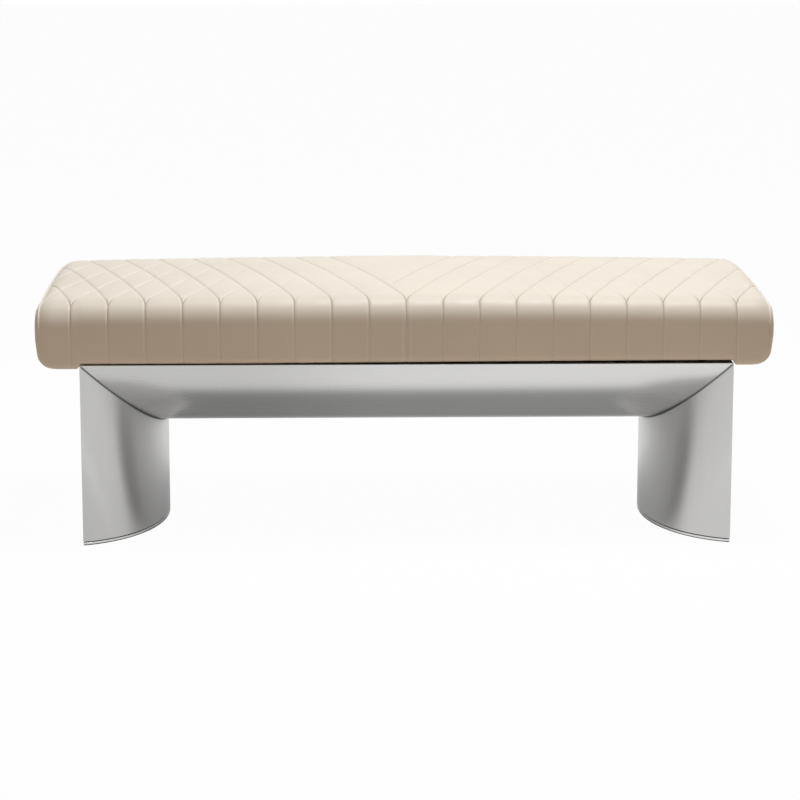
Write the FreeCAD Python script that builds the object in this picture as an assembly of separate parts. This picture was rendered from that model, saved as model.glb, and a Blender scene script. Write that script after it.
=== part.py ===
"""Upholstered luggage bench on a mitred stainless steel base.

Row frame: X along the bench, Y from front to back, Z up, origin on the floor under the middle.
Left is -X, right is +X, and the front is -Y. All sizes are in millimetres.

Both legs and the beam between them share one D section: a flat face closed by an elliptical
skin. The flat face is outward on a leg and upward on the beam, and the three boxes meet on
45 degree mitres, where their bulkheads are bolted together.
"""
import FreeCAD
import Part
import math
import os

V = FreeCAD.Vector

# ---- Base ----
end_overhang = 70.0           # seat past the outer face of each leg
side_overhang = 10.0          # seat past the front and back of the base
base_height = 328.0           # floor to the top of the beam
bulge = 140.0                 # depth of the D section, flat face to apex
section_overrun = 6.0         # ellipse half-axis along Y, past half of base_depth
skin = 1.5                    # elliptical steel skin
leg_panel = 2.0               # flat outer panel of a leg
top_plate = 2.0               # flat top plate of the beam
mitre_line = 1.0              # open line between leg skin and beam skin
bulkhead = 4.0                # plates bolted together on the mitre
rib = 2.0                     # ribs in the legs and the beam
leg_rib_from_bolt = 36.0      # nearer the middle than the bolts by the apex
beam_rib_pitch = 240.0

# ---- Feet ----
foot_pad = 1.5                # rubber sheet under the floor plate
foot_pad_inset = 1.0
floor_plate = 4.0
gasket = 1.5                  # black sheet that leaves a shadow line over the floor plate
gasket_inset = 3.0
foot_bulkhead = 4.0
foot_bolt_from_flat = 35.0    # the outer pair, from the flat face
foot_bolt_from_apex = 45.0    # the inner pair, from the deepest part of the bulge
foot_bolt_edge = 35.0         # in from the curved skin, along Y

# ---- Seat ----
seat_length = 1300.0
seat_depth = 500.0            # at the fullest part of the front and back
seat_top = 454.0              # middle of the crown
seat_crown = 5.0              # rise of the top from its edges to its middle
edge_radius = 42.0            # long top edges
seat_taper = 8.0              # each long side leans in by this towards the bottom
bottom_radius = 14.0
smallest_radius = 1.0         # inner layers keep at least this at the bottom
end_panel = 9.0               # padded panel at each end
end_panel_round = 6.0
piping = 3.5                  # square section of the welt, flush with the leather
cover = 6.0                   # quilted leather with its backing
wadding = 8.0
board = 18.0                  # plywood
board_side_margin = 28.0      # seat edge to board edge
cover_turn_under = 1.2        # leather alone, folded under the board
turn_under_width = 40.0
dust_cover = 0.6
dust_cover_margin = 8.0       # board edge to dust cover edge

# ---- Seat fixing ----
bracket = 3.0                 # steel brackets that also space the seat off the beam
bracket_inboard = 90.0        # over the beam's top plate
bracket_end_margin = 19.5     # its front and back ends, inside the dust cover's staples
bracket_rim = 10.0            # seat screw to the bracket's outer edge
bracket_staple_gap = 3.2      # the bracket's outer edge to the staples beyond it
bracket_corner = 12.0
centre_pad_length = 60.0
centre_pad_margin = 9.5       # its front and back ends, inside the dust cover's staples
seat_screw_out = 14.0         # past the leg's outer face
seat_screw_end = 60.0         # from the ends of the bracket
bracket_screw_in = (35.0, 65.0)   # inboard of the leg's outer face
bracket_screw_end = 40.0      # from the ends of the bracket
hand_hole_length = 120.0      # in the beam's top plate, to reach the mitre bolts
hand_hole_width = 90.0
hand_hole_corner = 20.0
hand_hole_in = 165.0          # its middle, inboard of the leg's outer face

# ---- Mitre bolts ----
mitre_bolt_from_flat = 45.0
mitre_bolt_from_apex = 40.0
mitre_bolt_edge = 35.0        # in from the curved skin, along Y

# ---- Hardware ----
hole_clearance = 0.5          # radial, a screw in a plain hole
thread_clearance = 0.05       # radial, a screw in its nut
m5, m6, m8 = 2.5, 3.0, 4.0    # shank radii
m6_nut_flats, m6_nut = 10.0, 5.0
m8_nut_flats, m8_nut = 13.0, 6.5
m8_head_flats, m8_head = 13.0, 5.3
m8_washer_radius, m8_washer = 8.0, 1.6
m8_length = 25.0
m6_csk_head = 6.0             # countersunk head radius
m6_foot_length = 16.0
m5_csk_head = 5.0
m5_length = 14.0
rivet_nut_body, rivet_nut_length = 3.5, 10.0
rivet_nut_flange_radius, rivet_nut_flange = 4.75, 0.8
pan_head_radius, pan_head = 6.0, 4.0
seat_screw_short = 2.6        # its tip, below the top of the board
m6_washer_radius, m6_washer = 6.25, 1.2
tee_barrel, tee_barrel_length = 4.0, 9.0
tee_flange_radius, tee_flange = 9.5, 1.2
staple_crown, staple_wire, staple_leg = 10.0, 0.6, 8.0
staple_pitch = 60.0
cover_staple_edge = 14.0      # board edge to the staples in the leather
dust_staple_edge = 4.5        # dust cover edge to its own staples

# ---- Worked out from the above ----
half_seat = seat_length / 2
half_depth = seat_depth / 2
half_base = half_seat - end_overhang
half_chord = half_depth - side_overhang
section_semi_depth = half_chord + section_overrun
section_semi_bulge = bulge / (1 - math.sqrt(1 - (half_chord / section_semi_depth) ** 2))
section_centre = bulge - section_semi_bulge      # ellipse centre, beyond the flat face
floor_plate_z = foot_pad
gasket_z = floor_plate_z + floor_plate
leg_z = gasket_z + gasket
foot_bulkhead_top = leg_z + foot_bulkhead
bracket_top = base_height + bracket
cover_z = bracket_top + dust_cover + staple_wire
board_z = cover_z + cover_turn_under
board_top = board_z + board
half_seam = half_seat - end_panel
bracket_end = half_base + seat_screw_out + bracket_rim
dust_line_x = bracket_end + bracket_staple_gap + staple_wire / 2
dust_half_length = dust_line_x + dust_staple_edge
board_half_length = dust_half_length + dust_cover_margin
board_half_depth = half_depth - board_side_margin
dust_half_depth = board_half_depth - dust_cover_margin
dust_line_y = dust_half_depth - dust_staple_edge
bracket_half_depth = dust_line_y - bracket_end_margin
seat_washer_z = base_height - m6_washer
far = 2 * seat_length                            # larger than the bench in every direction
past = 1.0                                       # a cutter runs this far past what it cuts
same_place = 1e-6                                # two edges or faces nearer than this coincide


def box(x0, x1, y0, y1, z0, z1):
    return Part.makeBox(x1 - x0, y1 - y0, z1 - z0, V(x0, y0, z0))


def rod(radius, z0, z1, x=0.0, y=0.0):
    return Part.makeCylinder(radius, z1 - z0, V(x, y, z0))


def hexagon(flats, z0, z1, x=0.0, y=0.0):
    corner = flats / math.sqrt(3)
    points = [V(x + corner * math.cos(a), y + corner * math.sin(a), z0)
              for a in (math.radians(60 * i) for i in range(7))]
    return Part.Face(Part.makePolygon(points)).extrude(V(0, 0, z1 - z0))


def rounded_plate(x0, x1, half_y, corner, z0, z1):
    plate = box(x0, x1, -half_y, half_y, z0, z1)
    upright = [e for e in plate.Edges if abs(e.BoundBox.ZLength - (z1 - z0)) < same_place]
    return plate.makeFillet(corner, upright)


def mirrored(shape):
    """The same piece for the other end of the bench."""
    return shape.mirror(V(0, 0, 0), V(1, 0, 0))


def both_ends(shapes):
    return list(shapes) + [mirrored(s) for s in shapes]


def across(y):
    """The two places either side of the middle."""
    return (-y, y)


# ---- The D section and its mitre ----

def section_half_width(depth):
    """Half the width of the D section at a depth from its flat face."""
    share = (depth - section_centre) / section_semi_bulge
    return section_semi_depth * math.sqrt(1 - share ** 2)


def bolt_places(from_flat, from_apex, edge):
    """Four (depth, y) places: a wide pair near the flat face and a close pair near the apex."""
    depths = (from_flat, bulge - from_apex)
    return [(d, y) for d in depths for y in across(section_half_width(d) - edge)]


def d_face(inset=0.0, flat=0.0):
    """D section in its own plane: X is the depth from the flat face, Y is across the bench."""
    semi_y = section_semi_depth - inset
    semi_x = section_semi_bulge - inset
    ellipse = Part.Ellipse(V(section_centre, semi_y, 0), V(section_centre + semi_x, 0, 0),
                           V(section_centre, 0, 0))
    start = math.asin((flat - section_centre) / semi_x)
    arc = Part.ArcOfEllipse(ellipse, start, math.pi - start)
    chord = Part.LineSegment(arc.EndPoint, arc.StartPoint)
    return Part.Face(Part.Wire([arc.toShape(), chord.toShape()]))


def leg_prism(z0, z1, inset=0.0, flat=0.0):
    """The D section standing upright, at the left leg."""
    prism = d_face(inset, flat).extrude(V(0, 0, z1 - z0))
    prism.translate(V(-half_base, 0, z0))
    return prism


def beam_prism(inset=0.0, flat=0.0):
    """The D section along the bench, flat face up, running past both mitres."""
    prism = d_face(inset, flat).extrude(V(0, 0, 2 * half_base))
    prism.translate(V(0, 0, -half_base))
    prism.rotate(V(0, 0, 0), V(0, 1, 0), 90)
    prism.translate(V(0, 0, base_height))
    return prism


def at_left_mitre(shape):
    """From the mitre's own frame to the bench: X is square to the mitre, from the leg to the
    beam, and -Z runs down the mitre from the top corner."""
    placed = shape.copy()
    placed.rotate(V(0, 0, 0), V(0, 1, 0), -45)
    placed.translate(V(-half_base, 0, base_height))
    return placed


def mitre_slab(low, high):
    """All that lies between two distances from the left mitre."""
    return at_left_mitre(box(low, high, -far, far, -far, far))


def leg_side(shape, back_off):
    return shape.common(mitre_slab(-far, -back_off))


def beam_side(shape, back_off):
    """Cut on both mitres."""
    left = mitre_slab(back_off, far)
    return shape.common(left).common(mirrored(left))


def down_mitre(depth):
    """The place on the mitre, in its own frame, at a depth from the flat faces."""
    return -depth * math.sqrt(2)


def along_mitre(shape):
    """Turns a fastener made along Z to lie square to the mitre, in the mitre's own frame."""
    turned = shape.copy()
    turned.rotate(V(0, 0, 0), V(0, 1, 0), 90)
    return turned


def at_mitre_places(fastener):
    """Copies of a fastener, made along Z from the mitre towards the beam, at the left mitre."""
    placed = []
    for depth, y in bolt_places(mitre_bolt_from_flat, mitre_bolt_from_apex, mitre_bolt_edge):
        copy = along_mitre(fastener)
        copy.translate(V(0, y, down_mitre(depth)))
        placed.append(at_left_mitre(copy))
    return placed


def cut_all(shape, tools):
    return shape.cut(Part.makeCompound(tools)) if tools else shape


# ---- Legs ----

def leg_skin():
    outer = leg_prism(leg_z, base_height)
    inner = leg_prism(leg_z - past, base_height + past, skin, -past)
    return leg_side(outer.cut(inner), mitre_line / 2)


def leg_outer_panel():
    flush = leg_prism(leg_z, base_height, skin)
    behind = leg_prism(leg_z - past, base_height + past, skin, leg_panel)
    return leg_side(flush.cut(behind), mitre_line / 2)


def leg_inside(z0):
    """The space inside a leg, from z0 up."""
    return leg_prism(z0, base_height, skin, leg_panel)


def leg_bulkhead():
    plate = leg_inside(leg_z).common(mitre_slab(-bulkhead, 0))
    holes = at_mitre_places(rod(m8 + hole_clearance, -2 * bulkhead, bulkhead))
    return cut_all(plate, holes)


def leg_ribs():
    space = leg_side(leg_inside(foot_bulkhead_top), bulkhead)
    bolt_y = section_half_width(bulge - foot_bolt_from_apex) - foot_bolt_edge
    return [space.common(box(-far, far, y - rib / 2, y + rib / 2, 0, far))
            for y in across(bolt_y - leg_rib_from_bolt)]


def foot_places():
    return [(-half_base + depth, y)
            for depth, y in bolt_places(foot_bolt_from_flat, foot_bolt_from_apex, foot_bolt_edge)]


def foot_holes(radius, z0, z1):
    return [rod(radius, z0, z1, x, y) for x, y in foot_places()]


def foot_bulkhead_plate():
    plate = leg_prism(leg_z, foot_bulkhead_top, skin, leg_panel)
    return cut_all(plate, foot_holes(m6 + hole_clearance, leg_z - past, foot_bulkhead_top + past))


def foot_weld_nuts():
    top = foot_bulkhead_top + m6_nut
    return [hexagon(m6_nut_flats, foot_bulkhead_top, top, x, y)
            .cut(rod(m6 + thread_clearance, foot_bulkhead_top - past, top + past, x, y))
            for x, y in foot_places()]


def foot_gasket():
    sheet = leg_prism(gasket_z, leg_z, gasket_inset, gasket_inset)
    return cut_all(sheet, foot_holes(m6 + hole_clearance, gasket_z - past, leg_z + past))


def countersunk(head, shank, z0, length, x=0.0, y=0.0):
    """A countersunk screw pointing up, its flat face at z0."""
    cone = Part.makeCone(head, shank, head - shank, V(x, y, z0))
    return cone.fuse(rod(shank, z0, z0 + length, x, y)).removeSplitter()


def foot_screws():
    return [countersunk(m6_csk_head, m6, floor_plate_z, m6_foot_length, x, y)
            for x, y in foot_places()]


def foot_plate():
    """The plate on the floor, with its countersunk holes."""
    plate = leg_prism(floor_plate_z, gasket_z)
    sinks = [Part.makeCone(m6_csk_head, m6, m6_csk_head - m6, V(x, y, floor_plate_z))
             for x, y in foot_places()]
    return cut_all(plate, sinks + foot_holes(m6 + hole_clearance, 0, gasket_z + past))


def foot_pad_sheet():
    return leg_prism(0, foot_pad, foot_pad_inset, foot_pad_inset)


# ---- Beam ----

def beam_skin():
    return beam_side(beam_prism().cut(beam_prism(skin, -past)), mitre_line / 2)


def beam_inside():
    """The space inside the beam, between its bulkheads and under its top plate."""
    return beam_side(beam_prism(skin, top_plate), bulkhead)


def beam_bulkhead():
    plate = beam_prism(skin, top_plate).common(mitre_slab(0, bulkhead))
    holes = at_mitre_places(rod(m8 + hole_clearance, -bulkhead, 2 * bulkhead))
    return cut_all(plate, holes)


def beam_rib(x):
    return beam_inside().common(box(x - rib / 2, x + rib / 2, -far, far, 0, far))


def bracket_screw_places():
    screw_y = bracket_half_depth - bracket_screw_end
    return [(-half_base + x, y) for x in bracket_screw_in for y in across(screw_y)]


def beam_top_plate():
    plate = beam_side(beam_prism(skin).cut(beam_prism(skin, top_plate)), mitre_line / 2)
    middle = -half_base + hand_hole_in
    hand_hole = rounded_plate(middle - hand_hole_length / 2, middle + hand_hole_length / 2,
                              hand_hole_width / 2, hand_hole_corner, 0, far)
    under = base_height - top_plate - past
    seats = [rod(rivet_nut_body, under, far, x, y) for x, y in bracket_screw_places()]
    seats += [rod(rivet_nut_flange_radius, base_height - rivet_nut_flange, far, x, y)
              for x, y in bracket_screw_places()]
    return cut_all(plate, both_ends([hand_hole] + seats))


def mitre_bolt():
    """A hexagon bolt along Z: its head is on the beam's side of the bulkheads."""
    seat = bulkhead + m8_washer
    shank = rod(m8, seat - m8_length, seat)
    return shank.fuse(hexagon(m8_head_flats, seat, seat + m8_head)).removeSplitter()


def mitre_washer():
    top = bulkhead + m8_washer
    return rod(m8_washer_radius, bulkhead, top).cut(rod(m8 + hole_clearance, 0, top + past))


def mitre_weld_nut():
    """Welded to the leg's bulkhead, where no hand can reach."""
    low = -bulkhead - m8_nut
    return hexagon(m8_nut_flats, low, -bulkhead).cut(rod(m8 + thread_clearance, low - past, 0))


# ---- Seat fixing ----

def seat_screw_places():
    screw_y = bracket_half_depth - seat_screw_end
    return [(-half_base - seat_screw_out, y) for y in (-screw_y, 0.0, screw_y)]


def seat_bracket():
    plate = rounded_plate(-bracket_end, -half_base + bracket_inboard, bracket_half_depth,
                          bracket_corner, base_height, bracket_top)
    sinks = [Part.makeCone(m5, m5_csk_head, m5_csk_head - m5,
                           V(x, y, bracket_top - (m5_csk_head - m5)))
             for x, y in bracket_screw_places()]
    holes = [rod(m5 + hole_clearance, 0, far, x, y) for x, y in bracket_screw_places()]
    holes += [rod(m6 + hole_clearance, 0, far, x, y) for x, y in seat_screw_places()]
    return cut_all(plate, sinks + holes)


def bracket_screws():
    """Countersunk, pointing down, flush with the bracket."""
    screws = []
    for x, y in bracket_screw_places():
        screw = countersunk(m5_csk_head, m5, 0, m5_length)
        screw.rotate(V(0, 0, 0), V(1, 0, 0), 180)
        screw.translate(V(x, y, bracket_top))
        screws.append(screw)
    return screws


def rivet_nuts():
    low = base_height - rivet_nut_length
    nuts = []
    for x, y in bracket_screw_places():
        body = rod(rivet_nut_body, low, base_height, x, y)
        flange = rod(rivet_nut_flange_radius, base_height - rivet_nut_flange, base_height, x, y)
        nut = body.fuse(flange).removeSplitter()
        nuts.append(nut.cut(rod(m5 + thread_clearance, low - past, base_height + past, x, y)))
    return nuts


def centre_pad():
    half_x = centre_pad_length / 2
    half_y = dust_line_y - centre_pad_margin
    return box(-half_x, half_x, -half_y, half_y, base_height, bracket_top)


def seat_screws():
    return [rod(m6, seat_washer_z, board_top - seat_screw_short, x, y)
            .fuse(rod(pan_head_radius, seat_washer_z - pan_head, seat_washer_z, x, y))
            .removeSplitter()
            for x, y in seat_screw_places()]


def seat_washers():
    return [rod(m6_washer_radius, seat_washer_z, base_height, x, y)
            .cut(rod(m6 + hole_clearance, seat_washer_z - past, base_height + past, x, y))
            for x, y in seat_screw_places()]


def tee_nuts():
    nuts = []
    for x, y in seat_screw_places():
        barrel = rod(tee_barrel, board_top - tee_barrel_length, board_top, x, y)
        flange = rod(tee_flange_radius, board_top - tee_flange, board_top, x, y)
        nut = barrel.fuse(flange).removeSplitter()
        nuts.append(nut.cut(rod(m6 + thread_clearance, board_z, board_top + past, x, y)))
    return nuts


# ---- Seat ----

def seat_outline(inset=0.0, bottom=cover_z):
    """The seat's cross-section at x = 0, as a closed wire in the YZ plane."""
    side = half_depth - inset
    low_side = side - seat_taper
    top = seat_top - inset
    radius = edge_radius - inset
    low_radius = max(bottom_radius - inset, smallest_radius)
    shoulder = top - seat_crown
    edge_z = shoulder - radius
    drop = edge_z - bottom - low_radius
    side_radius = (drop ** 2 + seat_taper ** 2) / (2 * seat_taper)   # upright at its top
    half_turn = math.asin(drop / side_radius) / 2
    diagonal = math.sqrt(0.5)

    def half(sign):
        """The points of one side, from the bottom up."""
        corner_y = low_side - low_radius
        mid_y = side - side_radius * (1 - math.cos(half_turn))
        mid_z = edge_z - side_radius * math.sin(half_turn)
        return {
            "foot": V(0, sign * corner_y, bottom),
            "foot_mid": V(0, sign * (corner_y + low_radius * diagonal),
                          bottom + low_radius * (1 - diagonal)),
            "side_low": V(0, sign * low_side, bottom + low_radius),
            "side_mid": V(0, sign * mid_y, mid_z),
            "side_top": V(0, sign * side, edge_z),
            "edge_mid": V(0, sign * (side - radius * (1 - diagonal)),
                          edge_z + radius * diagonal),
            "edge_top": V(0, sign * (side - radius), shoulder),
        }

    a, b = half(-1), half(1)
    edges = [
        Part.Arc(a["foot"], a["foot_mid"], a["side_low"]).toShape(),
        Part.Arc(a["side_low"], a["side_mid"], a["side_top"]).toShape(),
        Part.Arc(a["side_top"], a["edge_mid"], a["edge_top"]).toShape(),
        Part.Arc(a["edge_top"], V(0, 0, top), b["edge_top"]).toShape(),
        Part.Arc(b["edge_top"], b["edge_mid"], b["side_top"]).toShape(),
        Part.Arc(b["side_top"], b["side_mid"], b["side_low"]).toShape(),
        Part.Arc(b["side_low"], b["foot_mid"], b["foot"]).toShape(),
        Part.LineSegment(b["foot"], a["foot"]).toShape(),
    ]
    return Part.Wire(edges)


def seat_prism(x0, x1, inset=0.0, bottom=cover_z):
    prism = Part.Face(seat_outline(inset, bottom)).extrude(V(x1 - x0, 0, 0))
    prism.translate(V(x0, 0, 0))
    return prism


def left_piping():
    """The welt on the seam between the wrap and the left end panel."""
    low, high = -half_seam - piping / 2, -half_seam + piping / 2
    core = seat_prism(low - past, high + past, piping, cover_z + piping)
    return seat_prism(low, high).cut(core)


def left_end_panel():
    panel = seat_prism(-half_seat, -half_seam)
    rim = [e for e in panel.Edges if abs(e.BoundBox.XMax + half_seat) < same_place]
    roundness = min(end_panel_round, end_panel - smallest_radius)
    return panel.makeFillet(roundness, rim).cut(left_piping())


def screw_passages(z0, z1):
    return both_ends([rod(m6 + hole_clearance, z0, z1, x, y) for x, y in seat_screw_places()])


def staple(along_x):
    """One staple at the origin, its crown below z = 0 and its legs going up."""
    half, wire = staple_crown / 2, staple_wire / 2
    crown = box(-half, half, -wire, wire, -staple_wire, 0)
    legs = [box(s - wire, s + wire, -wire, wire, -wire, staple_leg)
            for s in (-half + wire, half - wire)]
    shape = crown.fuse(legs).removeSplitter()
    if not along_x:
        shape.rotate(V(0, 0, 0), V(0, 0, 1), 90)
    return shape


def row_of(reach):
    """Evenly spaced places from -reach to reach, about one staple pitch apart."""
    gaps = max(1, round(2 * reach / staple_pitch))
    return [-reach + 2 * reach * i / gaps for i in range(gaps + 1)]


def staple_ring(x_line, y_line, x_end, y_end, z):
    """Staples along all four sides, each side's last ones at x_end or y_end."""
    places = [(x, y, True) for x in row_of(x_end) for y in across(y_line)]
    places += [(x, y, False) for y in row_of(y_end) for x in across(x_line)]
    shapes = []
    for x, y, along_x in places:
        shape = staple(along_x)
        shape.translate(V(x, y, z))
        shapes.append(shape)
    return shapes


def cover_staples():
    x_line = board_half_length - cover_staple_edge
    y_line = board_half_depth - cover_staple_edge
    return staple_ring(x_line, y_line, x_line - staple_pitch / 2, y_line - staple_pitch / 2,
                       cover_z)


def dust_staples():
    """Their ends stand clear of the last staples in the leather."""
    return staple_ring(dust_line_x, dust_line_y,
                       dust_line_x - staple_pitch, dust_line_y - staple_pitch, bracket_top)


def all_staples():
    return cover_staples() + dust_staples()


def seat_board():
    """Plywood, with pockets for the tee nuts and the staples' legs."""
    plate = box(-board_half_length, board_half_length, -board_half_depth, board_half_depth,
                board_z, board_top)
    seats = [rod(tee_barrel, board_top - tee_barrel_length, far, x, y)
             for x, y in seat_screw_places()]
    seats += [rod(tee_flange_radius, board_top - tee_flange, far, x, y)
              for x, y in seat_screw_places()]
    return cut_all(plate, both_ends(seats) + screw_passages(0, far) + all_staples())


def foam_core():
    return seat_prism(-half_seam, half_seam, cover + wadding).common(
        box(-far, far, -far, far, board_top, far))


def wadding_wrap():
    """Fills the space between the cover and the foam and board that it goes round."""
    outer = seat_prism(-half_seam, half_seam, cover, board_z)
    foam_space = seat_prism(-half_seat, half_seat, cover + wadding).common(
        box(-far, far, -far, far, board_top, far))
    board_space = box(-board_half_length, board_half_length,
                      -board_half_depth, board_half_depth, 0, board_top)
    filling = outer.cut(foam_space).cut(board_space)
    return cut_all(filling, both_ends([left_piping()]))


def quilted_cover():
    """The wrap that runs from under the board, over the top, to under the board again."""
    wrap = seat_prism(-half_seam, half_seam)
    hollow = seat_prism(-half_seat, half_seat, cover, board_z)
    window_x = board_half_length - turn_under_width
    window_y = board_half_depth - turn_under_width
    window = box(-window_x, window_x, -window_y, window_y, 0, board_top)
    wrap = wrap.cut(hollow).cut(window)
    wrap = cut_all(wrap, screw_passages(0, board_top) + all_staples())
    return cut_all(wrap, both_ends([left_piping()]))


def dust_cover_sheet():
    sheet = box(-dust_half_length, dust_half_length, -dust_half_depth, dust_half_depth,
                bracket_top, bracket_top + dust_cover)
    return cut_all(sheet, screw_passages(0, far) + dust_staples())


# ---- Output ----

def pair(name, left_shape):
    return {name + "_left": left_shape, name + "_right": mirrored(left_shape)}


def all_nodes():
    nodes = {
        "quilted_cover": quilted_cover(),
        "foam_core": foam_core(),
        "wadding_wrap": wadding_wrap(),
        "seat_board": seat_board(),
        "dust_cover": dust_cover_sheet(),
        "cover_staples": cover_staples(),
        "dust_cover_staples": dust_staples(),
        "seat_tee_nuts": both_ends(tee_nuts()),
        "seat_screws": both_ends(seat_screws()),
        "seat_washers": both_ends(seat_washers()),
        "centre_pad": centre_pad(),
        "bracket_screws": both_ends(bracket_screws()),
        "bracket_rivet_nuts": both_ends(rivet_nuts()),
        "beam_skin": beam_skin(),
        "beam_top_plate": beam_top_plate(),
        "beam_rib_left": beam_rib(-beam_rib_pitch),
        "beam_rib_centre": beam_rib(0.0),
        "beam_rib_right": beam_rib(beam_rib_pitch),
        "mitre_bolts": both_ends(at_mitre_places(mitre_bolt())),
        "mitre_washers": both_ends(at_mitre_places(mitre_washer())),
        "mitre_weld_nuts": both_ends(at_mitre_places(mitre_weld_nut())),
        "floor_plate_screws": both_ends(foot_screws()),
        "foot_weld_nuts": both_ends(foot_weld_nuts()),
    }
    nodes.update(pair("end_panel", left_end_panel()))
    nodes.update(pair("piping", left_piping()))
    nodes.update(pair("seat_bracket", seat_bracket()))
    nodes.update(pair("beam_bulkhead", beam_bulkhead()))
    nodes.update(pair("leg_skin", leg_skin()))
    nodes.update(pair("leg_outer_panel", leg_outer_panel()))
    nodes.update(pair("leg_bulkhead", leg_bulkhead()))
    nodes.update(pair("foot_bulkhead", foot_bulkhead_plate()))
    nodes.update(pair("foot_gasket", foot_gasket()))
    nodes.update(pair("floor_plate", foot_plate()))
    nodes.update(pair("foot_pad", foot_pad_sheet()))
    ribs = leg_ribs()
    nodes["leg_ribs_left"] = ribs
    nodes["leg_ribs_right"] = [mirrored(r) for r in ribs]
    return nodes


def solids_of(shape):
    shapes = shape if isinstance(shape, list) else [shape]
    return [solid for s in shapes for solid in s.Solids]


os.makedirs("parts", exist_ok=True)
for name, shape in all_nodes().items():
    solids = solids_of(shape)
    Part.makeCompound(solids).exportStep(os.path.join("parts", name + ".step"))
    print(f"{name}: {len(solids)} solids, {sum(s.Volume for s in solids) / 1000:.1f} cm3,"
          f" valid {all(s.isValid() for s in solids)}")
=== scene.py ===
"""Hotel luggage bench: a quilted leather seat on a mitred D-section steel base."""

import contextlib
import math

import bpy
import numpy as np
from bpy.props import FloatProperty, FloatVectorProperty, IntProperty, PointerProperty
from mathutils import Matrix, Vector


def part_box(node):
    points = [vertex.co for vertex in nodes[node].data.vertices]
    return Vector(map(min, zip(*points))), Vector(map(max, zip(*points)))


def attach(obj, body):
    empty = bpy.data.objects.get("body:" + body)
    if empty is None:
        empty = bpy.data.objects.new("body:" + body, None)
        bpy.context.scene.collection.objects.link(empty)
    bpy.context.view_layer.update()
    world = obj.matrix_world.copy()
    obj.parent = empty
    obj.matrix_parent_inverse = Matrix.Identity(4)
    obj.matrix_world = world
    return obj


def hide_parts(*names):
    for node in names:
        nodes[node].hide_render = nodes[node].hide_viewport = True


bl_info = {
    "name": "Luggage bench",
    "version": (1, 0, 0),
    "blender": (4, 5, 0),
    "location": "3D View > Sidebar > Bench",
    "description": "Builds a quilted leather luggage bench around its construction model",
    "category": "Add Mesh",
}

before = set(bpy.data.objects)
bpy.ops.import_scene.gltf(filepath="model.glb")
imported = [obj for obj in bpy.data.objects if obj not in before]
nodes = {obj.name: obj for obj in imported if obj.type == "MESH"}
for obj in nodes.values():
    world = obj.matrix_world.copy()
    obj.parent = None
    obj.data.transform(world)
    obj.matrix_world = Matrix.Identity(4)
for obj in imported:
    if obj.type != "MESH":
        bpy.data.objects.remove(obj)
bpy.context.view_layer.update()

BODY = "root"
SIDES = {"left": -1, "right": 1}
MERGE = 1e-6  # corners of a mesh that are closer than this are one
MERGE_SOFT = 1e-5  # the same, on padded pieces

cover_low, cover_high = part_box("quilted_cover")
seat_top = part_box("end_panel_right")[1].z
board_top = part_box("seat_board")[1].z
beam_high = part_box("beam_skin")[1]
leg_low, leg_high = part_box("leg_skin_right")
foot_low, foot_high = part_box("floor_plate_right")
lining_low, lining_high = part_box("dust_cover")
felt_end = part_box("centre_pad")[1].x
bracket_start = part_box("seat_bracket_right")[0].x


# ---- Sizes and colours that a user would change ----

def length(name, description, default):
    return FloatProperty(name=name, description=description, default=default, unit="LENGTH",
                         precision=5)


def plain_number(name, description, default):
    return FloatProperty(name=name, description=description, default=default, precision=4)


def colour(name, description, default):
    return FloatVectorProperty(name=name, description=description, default=default,
                               subtype="COLOR", size=3, min=0, max=1)


def turn(name, description, degrees):
    return FloatProperty(name=name, description=description, default=math.radians(degrees),
                         subtype="ANGLE")


class SeatSettings(bpy.types.PropertyGroup):
    """Shape of the quilted seat."""

    pitch: length("Quilt pitch", "Between the upright seams of the front", 0.065)
    crease_depth: length("Crease depth", "How far a seam draws the leather in", 0.0017)
    crease_reach: length("Crease reach", "How wide a seam draws on each side", 0.0037)
    puff: length("Puff", "Rise of the wadding between two seams", 0.0007)
    swell_limit: length("Swell limit", "The most that the leather swells in the simulation",
                        0.0011)
    # painted shade: half width of the dark line painted along a seam
    seam_shade_width: length("Seam line", "Half width of the dark line in a seam", 0.0014)
    edge_radius: length("Edge radius", "Of the long top edges", 0.040)
    top_crown: length("Top crown", "Rise of the top from its long edges to its middle", 0.005)
    long_crown: length("Long crown", "Drop of the top from the middle to the ends", 0.008)
    back_rise: length("Back rise", "Rise of the top from the front to the back", 0.003)
    side_lean: length("Side lean", "How far a long side leans in towards its bottom", 0.008)
    bottom_radius: length("Bottom radius", "Of the bottom edges", 0.014)
    turn_under: length("Turn under", "Width of leather that lies under the board", 0.038)
    end_roll: length("End roll", "Radius at which the top rolls over to the end seam", 0.025)
    end_droop: length("End droop", "How far the padding hangs past the base at the ends", 0.0088)
    sag: length("Sag", "How far the bottom edges hang at the left end", 0.0032)
    end_tuck: length("End tuck", "Radius of the round lower corners at the ends", 0.026)
    left_stretch: plain_number("Left stretch", "Length of the left half over the right half",
                               1.012)
    quilt_shift: length("Quilt shift", "How far the quilt's middle lies to the right", -0.002)
    left_run: plain_number("Left run", "Pitches that a left-going seam moves over the top",
                           2.22)
    left_curve: plain_number("Left curve", "Power of the left-going seams' curve", 1.1)
    right_run: plain_number("Right run", "Pitches that a right-going seam moves over the top",
                            2.6)
    right_curve: plain_number("Right curve", "Power of the right-going seams' curve", 1.03)
    kink: length("Kink", "From the top's middle line, over the leather, to the seams' kinks",
                 0.236)
    piping_radius: length("Piping radius", "Of the round piping on the end seams", 0.0021)
    pad_bulge: length("Pad bulge", "How far an end pad stands out from its seam", 0.0085)


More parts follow.
